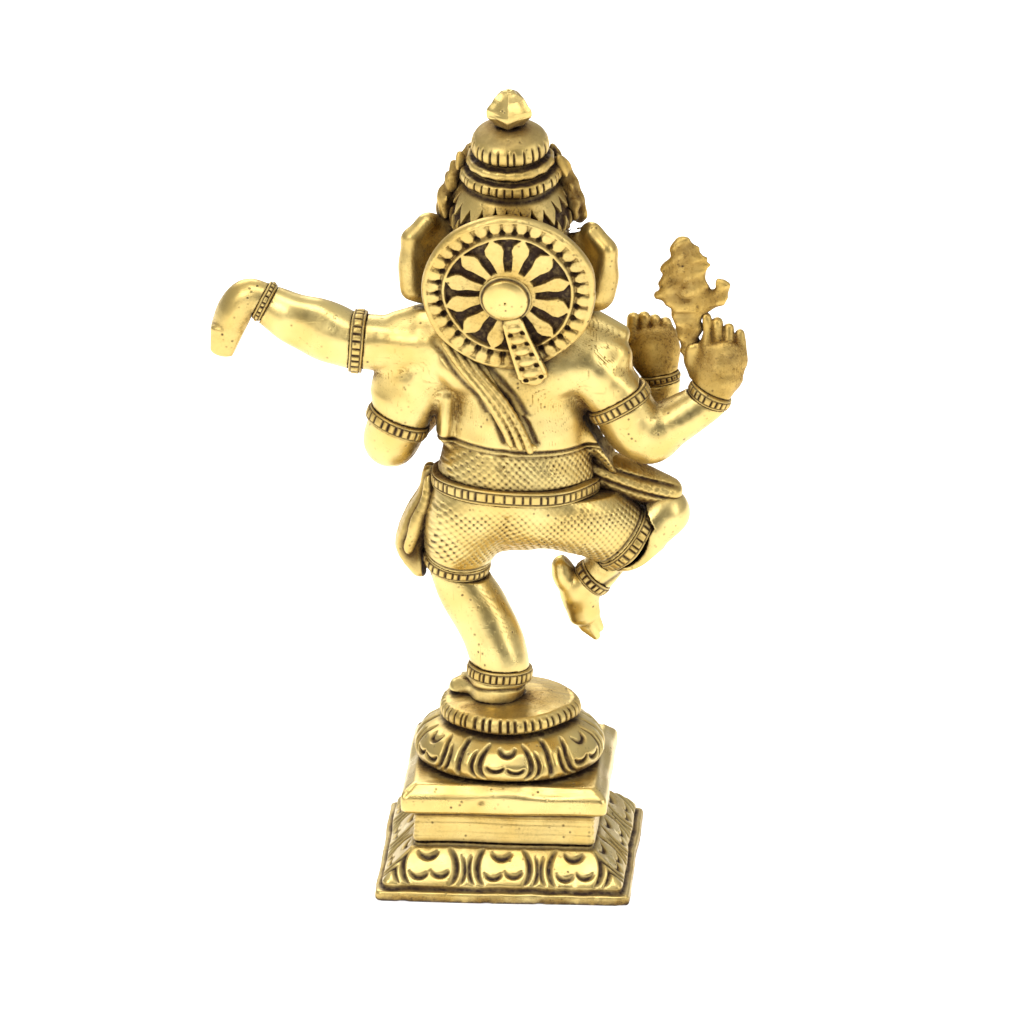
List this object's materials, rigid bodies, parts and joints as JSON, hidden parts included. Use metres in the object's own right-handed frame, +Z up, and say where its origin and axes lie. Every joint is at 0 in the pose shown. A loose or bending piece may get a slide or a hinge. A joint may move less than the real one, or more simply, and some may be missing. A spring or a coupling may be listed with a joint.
{
  "type": "brass nataraja statue",
  "caption": "Cast-brass dancing figure with an elephant's head and four arms, balanced on one leg on a round lotus cushion over a flared square plinth, with a petalled wheel behind its head.",
  "frame": {"origin": "centre of the plinth's underside, on the surface that it stands on", "axes": "+Z up along the figure; the figure faces -Y, and its own left hand side is +X"},
  "size_m": [0.0846, 0.0404, 0.1301],
  "materials": {
    "figure_brass": "lost-wax cast yellow brass, buffed on the high places, with dark brown patina left in the chased lines and hollows",
    "pedestal_brass": "cast yellow brass, filed and buffed faces with file marks, dark patina in the engraved lotus scrolls",
    "tie_steel": "plain zinc-plated steel fixings inside the hollow plinth"
  },
  "bodies": {
    "root": {"plinth": "pedestal_brass", "plinth_slab": "pedestal_brass", "lotus_cushion": "pedestal_brass", "foot_disc": "pedestal_brass", "tie_stud": "tie_steel", "tie_washer": "tie_steel", "tie_nut": "tie_steel", "standing_foot": "figure_brass", "standing_anklet": "figure_brass", "standing_shin": "figure_brass", "standing_knee_band": "figure_brass", "shorts": "figure_brass", "raised_knee_band": "figure_brass", "raised_shin": "figure_brass", "raised_anklet": "figure_brass", "raised_foot": "figure_brass", "waist_belt": "figure_brass", "side_sash": "figure_brass", "thigh_sash": "figure_brass", "torso": "figure_brass", "sacred_thread": "figure_brass", "necklace": "figure_brass", "rear_left_armlet": "figure_brass", "rear_left_forearm": "figure_brass", "rear_left_bracelet": "figure_brass", "rear_left_hand": "figure_brass", "front_left_armlet": "figure_brass", "front_left_forearm": "figure_brass", "front_left_bracelet": "figure_brass", "front_left_hand": "figure_brass", "sweet": "figure_brass", "rear_right_armlet": "figure_brass", "rear_right_forearm": "figure_brass", "rear_right_bracelet": "figure_brass", "rear_right_hand": "figure_brass", "axe": "figure_brass", "front_right_armlet": "figure_brass", "front_right_forearm": "figure_brass", "front_right_bracelet": "figure_brass", "front_right_hand": "figure_brass", "head": "figure_brass", "trunk": "figure_brass", "tusks": "figure_brass", "left_ear": "figure_brass", "right_ear": "figure_brass", "crown_bell": "figure_brass", "crown_leaves": "figure_brass", "crown_lower_ring": "figure_brass", "crown_upper_ring": "figure_brass", "crown_cap": "figure_brass", "crown_finial": "figure_brass", "wheel": "figure_brass", "wheel_boss": "figure_brass", "wheel_ribbon": "figure_brass"}
  },
  "joints": []
}
